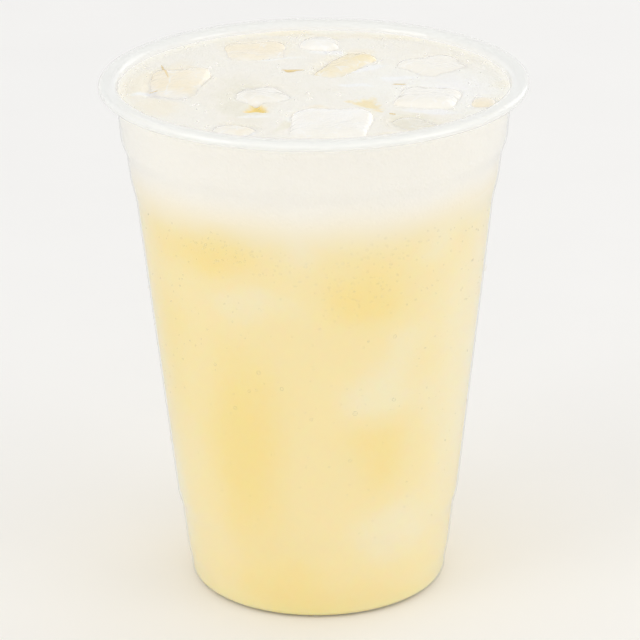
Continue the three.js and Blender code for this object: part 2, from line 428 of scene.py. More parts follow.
def even(level):
    """A neutral colour of one level, as four numbers."""
    return (level, level, level, 1.0)


def math_node(tree, operation, first, second, clamp=False):
    """The result of one operation on two values."""
    made = add(tree, "ShaderNodeMath", {0: first, 1: second}, operation=operation, use_clamp=clamp)
    return made.outputs[0]


def times(tree, first, second):
    """The product of two values."""
    return math_node(tree, "MULTIPLY", first, second)


def plus(tree, first, second):
    """The sum of two values."""
    return math_node(tree, "ADD", first, second)


def centred(tree, value, spread):
    """A pattern from 0 to 1, made one that goes half the spread to each side of 0."""
    return times(tree, math_node(tree, "SUBTRACT", value, 0.5), spread)


def rise(tree, value, low, high):
    """0 to 1 with a soft start and end as value goes from low to high."""
    inputs = {"Value": value, "From Min": low, "From Max": high}
    made = add(tree, "ShaderNodeMapRange", inputs, interpolation_type="SMOOTHSTEP")
    return made.outputs["Result"]


def mix_colour(tree, share, first, second):
    """One colour or the other, by share."""
    inputs = {"Factor": share, MIX_FIRST: first, MIX_SECOND: second}
    return add(tree, "ShaderNodeMix", inputs, data_type="RGBA").outputs[MIX_RESULT]


def mix_shader(tree, share, first, second):
    """One shader or the other, by share."""
    return add(tree, "ShaderNodeMixShader", {0: share, 1: first, 2: second}).outputs[0]


def pattern(tree, point, cell, detail=2.0, roughness=0.5):
    """A soft noise from 0 to 1 with cells of a size in metres."""
    inputs = {"Vector": point, "Scale": 1 / cell, "Detail": detail, "Roughness": roughness}
    return add(tree, "ShaderNodeTexNoise", inputs).outputs["Fac"]


def cells(tree, point, cell, feature):
    """Distances in a pattern of round cells of a size in metres."""
    inputs = {"Vector": point, "Scale": 1 / cell}
    return add(tree, "ShaderNodeTexVoronoi", inputs, feature=feature).outputs["Distance"]


def bump(tree, height, depth):
    """A normal from a height pattern, with the depth in metres."""
    return add(tree, "ShaderNodeBump", {"Height": height, "Distance": depth}).outputs["Normal"]


def object_point(tree):
    """The place on the object, in metres."""
    return add(tree, "ShaderNodeTexCoord").outputs["Object"]


def height_of(tree, point):
    """The height of a place."""
    return add(tree, "ShaderNodeSeparateXYZ", {0: point}).outputs["Z"]


def attribute(tree, name):
    """A number that is stored on the points of a mesh."""
    return add(tree, "ShaderNodeAttribute", attribute_name=name).outputs["Fac"]


def edge_on(tree, low, high):
    """0 where a surface faces the eye, up to 1 where it is seen edge-on."""
    facing = add(tree, "ShaderNodeLayerWeight", {"Blend": 0.5}).outputs["Facing"]
    return rise(tree, facing, low, high)


def principled(tree, inputs):
    """The shader of a solid surface."""
    return add(tree, "ShaderNodeBsdfPrincipled", inputs).outputs[0]


def lit_through(tree, shader, tint):
    """Lets the lamps' light through a clear shader, as thin plastic and ice do."""
    path = add(tree, "ShaderNodeLightPath").outputs
    passing = math_node(tree, "MAXIMUM", path["Is Shadow Ray"], path["Is Diffuse Ray"])
    open_way = add(tree, "ShaderNodeBsdfTransparent", {"Color": tint}).outputs[0]
    return mix_shader(tree, passing, shader, open_way)


def film(tree, tint, normal, ior, milk, milk_share):
    """A thin clear skin: it shines, shows what lies behind, and is milky by a share."""
    behind = add(tree, "ShaderNodeBsdfTransparent", {"Color": tint}).outputs[0]
    body = mix_shader(tree, milk_share, behind, milk)
    gloss = add(tree, "ShaderNodeBsdfGlossy", {"Roughness": FILM_ROUGHNESS, "Normal": normal})
    mirror = add(tree, "ShaderNodeFresnel", {"IOR": ior, "Normal": normal}).outputs[0]
    back = add(tree, "ShaderNodeNewGeometry").outputs["Backfacing"]
    front = times(tree, math_node(tree, "SUBTRACT", 1, back), FILM_SHINE)
    return mix_shader(tree, times(tree, mirror, front), body, gloss.outputs[0])


def clear_pet(cup):
    """Thermoformed clear PET: a thin glossy sheet, faintly wavy, with a painted white reflection
    where it is seen edge-on.
    """
    material, tree = new_material("clear_pet_sheet")
    point = object_point(tree)
    normal = bump(tree, pattern(tree, point, 14 * MM, detail=1), 0.08 * MM)
    inputs = {"Base Color": linear(PET_LIP_AND_GLINT_WHITE), "Roughness": 0.3, "IOR": PET_IOR}
    milk = principled(tree, inputs)
    lip = rise(tree, height_of(tree, point), cup.height - 4.5 * MM, cup.height - 2 * MM)
    lip_share = times(tree, lip, 0.38)
    # Painted reflection: a white share where the sheet is seen edge-on stands in for the bright
    # surroundings mirrored there.
    edge_glint_share = times(tree, edge_on(tree, 0.86, 1.0), 0.6)
    share = math_node(tree, "ADD", lip_share, edge_glint_share, clamp=True)
    sheet = film(tree, rgba(cup.tint), normal, PET_IOR, milk, share)
    finish_material(tree, lit_through(tree, sheet, even(0.98)))
    return material


def depth_light(tree, height, drink):
    """Share of light that wanders in the drink. None at the froth's foot, or a seam would show."""
    above = math_node(tree, "SUBTRACT", height, drink.froth_low)
    away = math_node(tree, "ABSOLUTE", above, 0)
    return times(tree, rise(tree, away, 1 * MM, 9 * MM), 0.75)


def froth_share(tree, point, height):
    """How much of the drink is froth at a height: none low down, all high up, a cloudy edge."""
    drift = times(tree, pattern(tree, point, 22 * MM), 4 * MM)
    return rise(tree, plus(tree, height, drift), 92.5 * MM, 109.5 * MM)


def cloudy_drink(drink):
    """Cloudy lemonade that turns to froth towards the top: soft, bright, and lit by its pulp."""
    material, tree = new_material("cloudy_lemonade")
    point = object_point(tree)
    height = height_of(tree, point)
    drift = centred(tree, pattern(tree, point, 22 * MM), 0.5)
    grain = centred(tree, pattern(tree, point, 1.6 * MM), 0.16)
    pale = plus(tree, attribute(tree, "cloud"), drift)
    pale = plus(tree, pale, grain)
    body = mix_colour(tree, rise(tree, pale, -0.6, 0.0), rgba(drink.deep), rgba(drink.clear))
    body = mix_colour(tree, rise(tree, pale, 0.0, 0.6), body, rgba(drink.pale))
    share = froth_share(tree, point, height)
    inputs = {
        # The froth at the wall takes its painted shade colour.
        "Base Color": mix_colour(tree, share, body, rgba(drink.froth_wall_shade)),
        "Roughness": 0.3,
        "IOR": DRINK_IOR,
        "Subsurface Weight": depth_light(tree, height, drink),
        "Subsurface Radius": (1.0, 0.75, 0.35),
        "Subsurface Scale": 5 * MM,
    }
    finish_material(tree, principled(tree, inputs))
    return material


def wet_froth(drink):
    """Damp drink foam: white and soft. Its bubbles are too fine to see and are drawn larger."""
    material, tree = new_material("wet_froth")
    point = object_point(tree)
    height = height_of(tree, point)
    fleck = pattern(tree, point, 1.1 * MM, detail=3)
    speckle = centred(tree, fleck, 0.5)
    drift = centred(tree, pattern(tree, point, 18 * MM, detail=3), 1.2)
    stain_and_shade = plus(tree, attribute(tree, "tint"), drift)
    stain_and_shade = plus(tree, stain_and_shade, speckle)
    below = math_node(tree, "SUBTRACT", drink.level, height)
    sunk = rise(tree, below, 1.2 * MM, 5 * MM)
    wet = math_node(tree, "MAXIMUM", rise(tree, stain_and_shade, 0.0, 1.0), sunk)
    top = mix_colour(tree, wet, rgba(drink.froth), rgba(drink.soaked))
    # Painted shade: where the stored tint is below zero, the top turns to the greyish shade colour.
    top = mix_colour(tree, rise(tree, stain_and_shade, 0.0, -1.0), top, rgba(drink.grey_shade))
    streak = plus(tree, attribute(tree, "white"), speckle)
    top = mix_colour(tree, rise(tree, streak, 0.1, 0.9), top, linear(WHITE_FROTH))
    top = mix_colour(tree, attribute(tree, "pocket"), top, rgba(drink.pocket))
    share = froth_share(tree, point, height)
    # The froth's side at the wall takes the painted shade colour.
    wall = mix_colour(tree, share, rgba(drink.clear), rgba(drink.froth_wall_shade))
    foam = cells(tree, point, 0.6 * MM, "SMOOTH_F1")
    skin = plus(tree, times(tree, fleck, 0.6), foam)
    inputs = {
        "Base Color": mix_colour(tree, rise(tree, attribute(tree, "side"), 0.3, 0.7), top, wall),
        "Roughness": 0.42,
        "IOR": WATER_IOR,
        "Subsurface Weight": depth_light(tree, height, drink),
        "Subsurface Radius": (1.0, 1.0, 0.95),
        "Subsurface Scale": 1 * MM,
        "Normal": bump(tree, skin, 0.12 * MM),
    }
    finish_material(tree, principled(tree, inputs))
    return material


def melting_ice(drink):
    """Melting ice: wet and clear where it was rinsed, white where cracks and froth cover it."""
    material, tree = new_material("melting_ice")
    point = object_point(tree)
    gold_and_shade = attribute(tree, "gold_and_shade")
    clouds = pattern(tree, point, 4.5 * MM, detail=4, roughness=0.6)
    frosted = plus(tree, attribute(tree, "frost"), centred(tree, clouds, 0.9))
    share = rise(tree, frosted, 0.15, 0.75)
    # Painted shade: where the stored number is below zero, the clear ice turns to the greyish shade
    # colour.
    shade = mix_colour(tree, rise(tree, gold_and_shade, 0.0, -1.0), rgba(drink.clear_ice), rgba(drink.grey_shade))
    shade = mix_colour(tree, rise(tree, gold_and_shade, 0.0, 1.0), shade, rgba(drink.gold_ice))
    shade = mix_colour(tree, share, shade, rgba(drink.frost))
    shade = mix_colour(tree, rise(tree, frosted, 0.8, 1.5), shade, linear(WHITE_ICE))
    warp = add(tree, "ShaderNodeTexNoise", {"Vector": point, "Scale": 1 / (5 * MM)})
    bend = {0: warp.outputs["Color"], "Scale": 3 * MM}
    shift = add(tree, "ShaderNodeVectorMath", bend, operation="SCALE").outputs[0]
    bent = add(tree, "ShaderNodeVectorMath", {0: point, 1: shift}, operation="ADD").outputs[0]
    cracks = rise(tree, cells(tree, bent, 6 * MM, "DISTANCE_TO_EDGE"), 0.05, 0.0)
    broken = times(tree, rise(tree, clouds, 0.46, 0.6), 0.6)
    cracks = times(tree, cracks, broken)
    normal = bump(tree, pattern(tree, point, 3.2 * MM, detail=3), 0.35 * MM)
    inputs = {
        "Base Color": mix_colour(tree, cracks, shade, linear(WHITE_ICE)),
        "Roughness": 0.25,
        "IOR": ICE_IOR,
        "Subsurface Weight": 0.15,
        "Subsurface Radius": (1.0, 0.95, 0.85),
        "Subsurface Scale": 0.8 * MM,
        "Normal": normal,
    }
    white = principled(tree, inputs)
    milky = plus(tree, times(tree, share, 0.07), 0.93)
    block = film(tree, rgba(drink.ice), normal, ICE_IOR, white, milky)
    finish_material(tree, lit_through(tree, block, even(0.97)))
    return material


def condensation():
    """Clear water in fine round beads: clear in the middle, with a painted darker shade and a
    painted white highlight at the rim.
    """
    material, tree = new_material("condensation")
    # Painted shade and highlight at the rim: a darker tint and a white share.
    rim = edge_on(tree, 0.35, 0.95)
    tint = mix_colour(tree, rim, even(1), linear(DEW_RIM_SHADE))
    milk = add(tree, "ShaderNodeBsdfDiffuse", {"Color": linear(DEW_RIM_GLINT)}).outputs[0]
    normal = bump(tree, pattern(tree, object_point(tree), 1 * MM), 0.01 * MM)
    drop = film(tree, tint, normal, WATER_IOR, milk, times(tree, rim, 0.25))
    finish_material(tree, lit_through(tree, drop, even(1)))
    return material


def lemon_pulp():
    """Wet lemon pulp: small juice cells, golden and glossy."""
    material, tree = new_material("lemon_pulp")
    juice = pattern(tree, object_point(tree), 0.7 * MM)
    inputs = {
        "Base Color": mix_colour(tree, juice, linear(PULP_DEEP), linear(PULP_PALE)),
        "Roughness": 0.2,
        "IOR": PULP_IOR,
        "Normal": bump(tree, juice, 0.05 * MM),
    }
    finish_material(tree, principled(tree, inputs))
    return material


def bubble_skin():
    """The skin of a froth bubble: all but clear in the middle, shiny at its rim, where a painted
    white highlight lies.
    """
    material, tree = new_material("bubble_skin")
    inputs = {"Base Color": linear(BUBBLE_MILK), "Roughness": 0.2, "IOR": WATER_IOR}
    milk = principled(tree, inputs)
    normal = bump(tree, pattern(tree, object_point(tree), 1 * MM), 0.01 * MM)
    # Painted highlight: the white share grows towards the rim.
    rim = times(tree, edge_on(tree, 0.3, 1.0), 0.5)
    share = plus(tree, rim, 0.4)
    skin = film(tree, BUBBLE_TINT, normal, WATER_IOR, milk, share)
    finish_material(tree, lit_through(tree, skin, even(1)))
    return material


def pale_floor(stage):
    """Matt painted board, all but even, with a faint mottle."""
    material, tree = new_material("pale_matt_board")
    mottle = pattern(tree, object_point(tree), 60 * MM, detail=3)
    dark = rgba([c * 0.97 for c in stage.floor])
    shade = mix_colour(tree, mottle, dark, rgba(stage.floor))
    finish_material(tree, principled(tree, {"Base Color": shade, "Roughness": 0.9}))
    return material


# Shapes


def ripple(place, layers, base=0.0):
    """Layers of noise at a place, each by its height and its cells for each unit, on a base."""
    total = base
    for tall, per_unit in layers:
        total += tall * noise.noise(place * per_unit)
    return total


def turned(dx, dy, turn):
    """Steps in x and y as steps along and across a form that is turned by so many degrees."""
    angle = math.radians(turn)
    along = dx * math.cos(angle) + dy * math.sin(angle)
    return along, -dx * math.sin(angle) + dy * math.cos(angle)


def wall_radius(cup, z):
    """Outer radius of the wall at a height."""
    radius = cup.foot + cup.taper * z
    for start, tall, out in WALL_STEPS:
        radius += out * MM * smooth_step(z, start * MM, (start + tall) * MM)
    return min(radius, cup.neck)


def arc(middle, radius, start, end, parts):
    """Points of an arc in the plane of radius and height, with angles in degrees."""
    points = []
    for i in range(parts + 1):
        angle = math.radians(start + (end - start) * i / parts)
        out, up = radius * math.cos(angle), radius * math.sin(angle)
        points.append(Vector((middle[0] + out, middle[1] + up)))
    return points


def sheet_line(cup):
    """The middle of the sheet, from the axis through foot and wall to the end of the lip's curl."""
    half = cup.sheet / 2
    recess, recess_middle, recess_edge, ring_edge = 2.2 * MM, 12 * MM, 23.6 * MM, 25.2 * MM
    heel = 2 * MM
    line = [Vector((out, recess + half)) for out in (0, recess_middle, recess_edge)]
    line.append(Vector((ring_edge, half)))
    heel_middle = wall_radius(cup, heel) - heel
    line += arc((heel_middle, heel), heel - half, -90, 0, ARC_PARTS)
    for start, tall, _ in WALL_STEPS:
        for i in range(STEP_PARTS + 1):
            z = (start + tall * i / STEP_PARTS) * MM
            line.append(Vector((wall_radius(cup, z) - half, z)))
    turn_middle = (cup.neck - half + cup.lip_turn, cup.height - half - cup.lip_turn)
    line += arc(turn_middle, cup.lip_turn, 180, 90, ARC_PARTS)
    nose = cup.lip_height / 2
    line += arc((cup.rim - nose, cup.height - nose), nose - half, 90, -90, ARC_PARTS * 2)
    line.append(Vector((cup.lip_end, cup.height - cup.lip_height + half)))
    return line


def offset_line(line, distance):
    """The line moved to its right, which is the outside of the cup, by a distance."""
    moved = []
    for i, point in enumerate(line):
        into = (point - line[i - 1]).normalized() if i else (line[1] - point).normalized()
        out = (line[i + 1] - point).normalized() if i + 1 < len(line) else into
        along = (into + out).normalized()
        stretch = 1 / max(along.dot(out), 1 / MOST_STRETCH)
        moved.append(point + Vector((along.y, -along.x)) * distance * stretch)
    return moved


def drink_line(cup, drink):
    """The line of the drink's outside, which reaches a little into the wall."""
    return offset_line(sheet_line(cup), drink.reach - cup.sheet / 2)


def wall_between(line, low, high):
    """Points on the rising wall of a line between two heights, no further apart than a wall row."""
    start = next(i for i in range(FLOOR_POINTS, len(line)) if line[i].y > line[i - 1].y)
    points = []
    count = math.ceil((high - low) / WALL_ROW)
    for k in range(count + 1):
        z = low + (high - low) * k / count
        i = next(i for i in range(start, len(line)) if line[i].y >= z)
        a, b = line[i - 1], line[i]
        points.append(a.lerp(b, (z - a.y) / (b.y - a.y)))
    return points


def spun(profile, steps):
    """A bmesh turned round +Z from radii and heights."""
    bm = bmesh.new()
    verts = [bm.verts.new((point[0], 0, point[1])) for point in profile]
    edges = [bm.edges.new(pair) for pair in zip(verts, verts[1:])]
    geom = verts + edges
    bmesh.ops.spin(bm, geom=geom, axis=UP, angle=math.tau, steps=steps, use_merge=True)
    bmesh.ops.remove_doubles(bm, verts=bm.verts[:], dist=SAME_PLACE)
    bmesh.ops.recalc_face_normals(bm, faces=bm.faces[:])
    return bm


def smooth(mesh):
    """Smooth shading but for sharp edges, without the normals left over from a solid."""
    left_over = mesh.attributes.get("custom_normal")
    if left_over:
        mesh.attributes.remove(left_over)
    mesh.shade_smooth()
    mesh.set_sharp_from_angle(angle=SHARP_ANGLE)


def plain_mesh(name, bm):
    """A mesh from a bmesh, which is freed."""
    mesh = bpy.data.meshes.new(name)
    bm.to_mesh(mesh)
    bm.free()
    return mesh


def new_object(name, data):
    """A new object in the scene."""
    made = bpy.data.objects.new(name, data)
    bpy.context.scene.collection.objects.link(made)
    return made


def new_piece(name, bm, material, slot, *nodes):
    """Ends a piece: a smooth mesh that rides on the cup and stands for its nodes."""
    mesh = plain_mesh(name, bm)
    smooth(mesh)
    piece = new_object(name, mesh)
    mesh.materials.append(material)
    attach(piece, "root")
    if nodes:
        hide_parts(*nodes)
    return piece


def take_in(whole, bm):
    """Adds a bmesh, which is freed, to the whole."""
    part = plain_mesh("part", bm)
    whole.from_mesh(part)
    bpy.data.meshes.remove(part)


def search_tree(pieces):
    """A search tree over the surfaces of some pieces."""
    joined = bmesh.new()
    for piece in pieces:
        joined.from_mesh(piece.data)
    tree = BVHTree.FromBMesh(joined)
    joined.free()
    return tree


def ice_blocks():
    """The finished blocks of ice, in the order of their nodes."""
    return [bpy.data.objects[name + "_block"] for name in ICE_NODES]


def ice_mesh(name, shrink=0.0):
    """A block of ice from its solid, dented by melting. shrink takes some off all round."""
    bm = bmesh.new()
    bm.from_mesh(frame["nodes"][name].data)
    bmesh.ops.remove_doubles(bm, verts=bm.verts[:], dist=SAME_ICE)
    bmesh.ops.subdivide_edges(bm, edges=bm.edges[:], cuts=ICE_CUTS, use_grid_fill=True)
    for _ in range(ICE_ROUNDS):
        bmesh.ops.smooth_vert(
            bm, verts=bm.verts[:], factor=0.5, use_axis_x=True, use_axis_y=True, use_axis_z=True
        )
    bm.normal_update()
    for vert in bm.verts:
        dent = ripple(vert.co / MM, ICE_DENTS)
        vert.co += vert.normal * (dent * MM - shrink)
    bm.normal_update()
    return bm


def add_frost(bm, name, level):
    """Stores how frosted and golden a block is. Its edge fades into the froth around it."""
    amount, lean, bearing, gold_and_shade, bare = ICE_LOOKS[name]
    low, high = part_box(name)
    middle = (low + high) / 2
    half = (high.x - low.x) / 2
    side = Vector((*turned(1, 0, -bearing), 0))
    frost_layer = bm.verts.layers.float.new("frost")
    gold_layer = bm.verts.layers.float.new("gold_and_shade")
    low_edge, high_edge = level - (bare + EDGE_FADE) * MM, level - (bare - EDGE_FADE) * MM
    for vert in bm.verts:
        bared = smooth_step(vert.co.z, low_edge, high_edge)
        frosted = amount + lean * (vert.co - middle).dot(side) / half
        vert[frost_layer] = EDGE_FROST + (frosted - EDGE_FROST) * bared
        vert[gold_layer] = gold_and_shade


def pocket_share(x, y):
    """How deep in a pocket a place of the froth's top is, from 0 to 1."""
    deepest = 0.0
    here = Vector((x, y, 0))
    ragged = 0.3 * noise.noise(here / (0.9 * MM)) + 0.35 * noise.noise(here / (2 * MM))
    for (mid_x, mid_y), (to_tip, half_breadth), turn, openness in POCKETS:
        along, across = turned(x / MM - mid_x, y / MM - mid_y, turn)
        along, across = along / to_tip, across / half_breadth
        sides = [along * math.cos(a) + across * math.sin(a) for a in POCKET_SIDES]
        share = max(sides) * 2 + ragged
        deepest = max(deepest, openness * (1 - smooth_step(share, 0.5, 1.25)))
    return deepest


def patches_at(x, y, patches):
    """The sum of some soft patches at a place of the top."""
    total = 0.0
    wander = 1.2 * noise.noise(Vector((x, y, 9 * MM)) / (4 * MM))
    for (mid_x, mid_y), (half_x, half_y), turn, strength in patches:
        along, across = turned(x / MM - mid_x + wander, y / MM - mid_y + wander, turn)
        far = (along / half_x) ** 2 + (across / half_y) ** 2
        total += strength * math.exp(-(far**1.5) * 0.7)
    return total


def froth_height(x, y, inner, tree, blocks, drink):
    """Height of the froth's top at a place. Over the ice it lies just under the ice's own top."""
    radius = math.hypot(x, y)
    climb = MENISCUS * smooth_step(radius, inner - MENISCUS_REACH, inner)
    calm = 1 - smooth_step(radius, inner - CALM_REACH, inner)
    place = Vector((x, y, 0)) / MM
    swell = ripple(place, FROTH_SWELL)
    fine = ripple(place, FROTH_FINE)
    gap = tree.find_nearest(Vector((x, y, drink.level)))[3] / MM
    lap = LAP * math.exp(-gap / LAP_REACH)
    height = drink.level + climb + (swell * calm + fine + lap * (0.4 + 0.6 * calm)) * MM
    for name, block in blocks:
        bare = ripple(place, SHORE, ICE_LOOKS[name][4])
        under = block.ray_cast(Vector((x, y, 1)), DOWN)[0]
        if under:
            low, high = drink.level - (bare + SHORE_FADE) * MM, drink.level - bare * MM
            near = smooth_step(under.z, low, high)
            height += (min(height, under.z - UNDER_ICE) - height) * near
    return height


def cloud_at(bearing, z):
    """Paleness of the drink behind the wall, at a bearing in degrees and a height in mm."""
    total = 0.0
    wobble = 4 * noise.noise(Vector((bearing * 0.05, z * 0.08, 3.1)))
    for middle, height, half_turn, half_height, strength in CLOUDS:
        turn = (bearing + wobble - middle + 180) % 360 - 180
        far = (turn / half_turn) ** 2 + ((z + wobble - height) / half_height) ** 2
        total += strength * math.exp(-0.54 * far**1.5 - 0.25 * far)
    return total


def beads(rows):
    """One bmesh of beads, each by its place, the way it faces, its size, breadth and flatness."""
    whole = bmesh.new()
    for start in range(0, len(rows), BEAD_BATCH):
        bm = bmesh.new()
        for place, out, size, broad, flat in rows[start : start + BEAD_BATCH]:
            turn = out.to_track_quat("Z", "Y").to_matrix().to_4x4()
            form = Matrix.Translation(place) @ turn @ Matrix.Diagonal((broad, 1, flat, 1))
            bmesh.ops.create_icosphere(bm, subdivisions=2, radius=size, matrix=form)
        take_in(whole, bm)
    return whole


class PieceOperator:
    """What the operators share: they work on the scene and can be undone."""

    bl_options = {"REGISTER", "UNDO"}


class LEMONADE_OT_cup(PieceOperator, bpy.types.Operator):
    """Model the clear cup with its rolled lip"""

    bl_idname = "lemonade.cup"
    bl_label = "Clear cup"

    def execute(self, context):
        cup = context.scene.lemonade_cup
        line = sheet_line(cup)
        profile = offset_line(line, cup.sheet / 2) + offset_line(line, -cup.sheet / 2)[::-1]
        profile = [Vector((max(point.x, 0), point.y)) for point in profile]
        bm = spun(profile, CUP_FACES)
        new_piece("cup_sheet", bm, clear_pet(cup), "clear_plastic", "cup")
        return {"FINISHED"}


class LEMONADE_OT_lemonade(PieceOperator, bpy.types.Operator):
    """Model the cloudy lemonade up to the foot of the froth"""

    bl_idname = "lemonade.lemonade"
    bl_label = "Lemonade"

    def execute(self, context):
        cup, drink = context.scene.lemonade_cup, context.scene.lemonade_drink
        line = drink_line(cup, drink)
        top = drink.froth_low - SEAM
        foot = line[: FLOOR_POINTS + ARC_PARTS + 1]
        profile = foot + wall_between(line, foot[-1].y, top)[1:] + [Vector((0, top))]
        profile[0].x = 0
        bm = spun(profile, LEMONADE_FACES)
        layer = bm.verts.layers.float.new("cloud")
        for vert in bm.verts:
            bearing = math.degrees(math.atan2(vert.co.x, -vert.co.y))
            vert[layer] = cloud_at(bearing, vert.co.z / MM)
        new_piece("lemonade_body", bm, cloudy_drink(drink), "lemonade", "lemonade")
        return {"FINISHED"}


class LEMONADE_OT_ice(PieceOperator, bpy.types.Operator):
    """Model the blocks of ice that break the froth"""

    bl_idname = "lemonade.ice"
    bl_label = "Ice"

    def execute(self, context):
        drink = context.scene.lemonade_drink
        material = melting_ice(drink)
        for name in ICE_NODES:
            bm = ice_mesh(name)
            add_frost(bm, name, drink.level)
            new_piece(name + "_block", bm, material, "ice", name)
        return {"FINISHED"}


class LEMONADE_OT_froth(PieceOperator, bpy.types.Operator):
    """Model the froth with a bed for each block of ice"""

    bl_idname = "lemonade.froth"
    bl_label = "Froth"

    def execute(self, context):
        cup, drink = context.scene.lemonade_cup, context.scene.lemonade_drink
        line = drink_line(cup, drink)
        bottom = drink.froth_low - SEAM
        side = wall_between(line, bottom, drink.level)
        inner = side[-1].x
        radii = [inner * (1 - k / FROTH_RINGS) for k in range(1, FROTH_RINGS + 1)]
        top = [Vector((radius, drink.level)) for radius in radii]
        bm = spun([Vector((0, bottom))] + side + top, FROTH_FACES)
        tree = search_tree(ice_blocks())
        blocks = [(name, search_tree([block])) for name, block in zip(ICE_NODES, ice_blocks())]
        names = ("pocket", "side", "tint", "white")
        pocket, wall, tint, white = [bm.verts.layers.float.new(name) for name in names]
        inside = []
        for vert in bm.verts:
            if vert.co.z < drink.level - SAME_PLACE:
                vert[wall] = 1
                continue
            x, y = vert.co.x, vert.co.y
            share = pocket_share(x, y)
            vert[pocket] = share
            vert[tint] = patches_at(x, y, TOP_PATCHES)
            vert[white] = patches_at(x, y, STREAKS)
            height = froth_height(x, y, inner, tree, blocks, drink)
            vert.co.z = height - share * POCKET_DEPTH * MM
            if math.hypot(x, y) < inner - FIXED_RIM:
                inside.append(vert)
        for _ in range(FROTH_ROUNDS):
            bmesh.ops.smooth_vert(bm, verts=inside, factor=0.5, use_axis_z=True)
        froth = new_piece("froth_layer", bm, wet_froth(drink), "froth", "froth")
        self.cut_beds(froth)
        return {"FINISHED"}

    def cut_beds(self, froth):
        """Cuts a bed for each block, a little smaller than the block so that no gap shows."""
        beds = bpy.data.collections.new("ice_beds")
        for name in ICE_NODES:
            mesh = plain_mesh(name + "_bed", ice_mesh(name, shrink=BED_GAP))
            beds.objects.link(bpy.data.objects.new(name + "_bed", mesh))
        cut = froth.modifiers.new("beds", "BOOLEAN")
        cut.operation = "DIFFERENCE"
        cut.operand_type = "COLLECTION"
        cut.collection = beds
        cut.solver = "EXACT"
        bpy.context.scene.collection.children.link(beds)
        bpy.context.view_layer.update()
        shaped = froth.evaluated_get(bpy.context.evaluated_depsgraph_get())
        mesh = bpy.data.meshes.new_from_object(shaped)
        froth.modifiers.clear()
        froth.data = mesh
        mesh.name = "froth_layer"
        smooth(mesh)
        for bed in list(beds.objects):
            bpy.data.objects.remove(bed)
        bpy.data.collections.remove(beds)


class LEMONADE_OT_bubbles(PieceOperator, bpy.types.Operator):
    """Set small bubbles on the froth, most of them along the wall and the ice"""

    bl_idname = "lemonade.bubbles"
    bl_label = "Froth bubbles"

    def execute(self, context):
        cup = context.scene.lemonade_cup
        froth = bpy.data.objects["froth_layer"]
        surface = BVHTree.FromObject(froth, context.evaluated_depsgraph_get())
        ice = search_tree(ice_blocks())
        rng = random.Random(BUBBLE_SEED)
        limit = cup.neck - cup.sheet - BUBBLE_MARGIN
        above = cup.height + 10 * MM
        rows = []
        while len(rows) < BUBBLES:
            radius = limit * math.sqrt(rng.random())
            bearing = rng.uniform(0, math.tau)
            x, y = radius * math.cos(bearing), radius * math.sin(bearing)
            sizes = SMALL_BUBBLE if rng.random() < SMALL_SHARE else LARGE_BUBBLE
            size = rng.uniform(*sizes) * MM
            place, normal = surface.ray_cast(Vector((x, y, above)), DOWN)[:2]
            if place is None or normal.z < FLAT_ENOUGH:
                continue
            from_ice = ice.find_nearest(place)[3]
            from_edge = min(from_ice, limit - radius)
            if from_edge > BUBBLE_NEAR and rng.random() > STRAY_SHARE:
                continue
            if from_ice < ICE_MARGIN or ice.ray_cast(place, UP)[0]:
                continue
            rows.append((place, normal, size, 1, BUBBLE_FLATNESS))
        new_piece("froth_bubbles", beads(rows), bubble_skin(), "froth")
        return {"FINISHED"}


class LEMONADE_OT_flecks(PieceOperator, bpy.types.Operator):
    """Lay golden flecks of pulp on the froth and in the cracks of the ice"""

    bl_idname = "lemonade.flecks"
    bl_label = "Pulp flecks"

    def execute(self, context):
        surface = search_tree(ice_blocks() + [bpy.data.objects["froth_layer"]])
        whole = bmesh.new()
        for (x, y), long, broad, turn in FLECKS:
            bm = bmesh.new()
            bmesh.ops.create_icosphere(bm, subdivisions=3, radius=0.5)
            for vert in bm.verts:
                spread = 1 + 0.3 * noise.noise(vert.co * 5)
                dx, dy = turned(vert.co.x * long, vert.co.y * broad * spread, -turn)
                place = Vector((x + dx, y + dy, 0)) * MM
                found = surface.ray_cast(place + UP, DOWN)[0]
                vert.co = Vector((place.x, place.y, found.z + vert.co.z * FLECK_THICKNESS))
            take_in(whole, bm)
        new_piece("pulp_flecks", whole, lemon_pulp(), "lemonade")
        return {"FINISHED"}


class LEMONADE_OT_dew(PieceOperator, bpy.types.Operator):
    """Set drops of condensation on the outside of the wall"""

    bl_idname = "lemonade.dew"
    bl_label = "Dew"

    def execute(self, context):
        cup = context.scene.lemonade_cup
        rng = random.Random(DEW_SEED)
        rows = [self.drop(cup, bearing, z, size, 1) for bearing, z, size in DROPS]
        for bearing, z, spread, tall, count in DEW_CLUSTERS:
            for _ in range(count):
                place = (rng.gauss(bearing, spread), rng.gauss(z, tall))
                form = (rng.uniform(*CLUSTER_SIZES), rng.uniform(*CLUSTER_BREADTHS))
                rows.append(self.drop(cup, *place, *form))
        for _ in range(LOOSE_DROPS):
            z = rng.triangular(*LOOSE_HEIGHTS)
            bearing = rng.uniform(0, 360)
            form = (rng.uniform(*LOOSE_SIZES), rng.uniform(*LOOSE_BREADTHS))
            rows.append(self.drop(cup, bearing, z, *form))
        new_piece("dew_drops", beads(rows), condensation(), "clear_plastic")
        return {"FINISHED"}

    def drop(self, cup, bearing, z, size, broad):
        """A flat bead at a bearing from the front in degrees, with its height and size in mm."""
        angle = math.radians(bearing)
        out = Vector((math.sin(angle), -math.cos(angle), -cup.taper)).normalized()
        radius = wall_radius(cup, z * MM)
        place = Vector((math.sin(angle) * radius, -math.cos(angle) * radius, z * MM))
        return place, out, size * MM, broad, DROP_FLATNESS


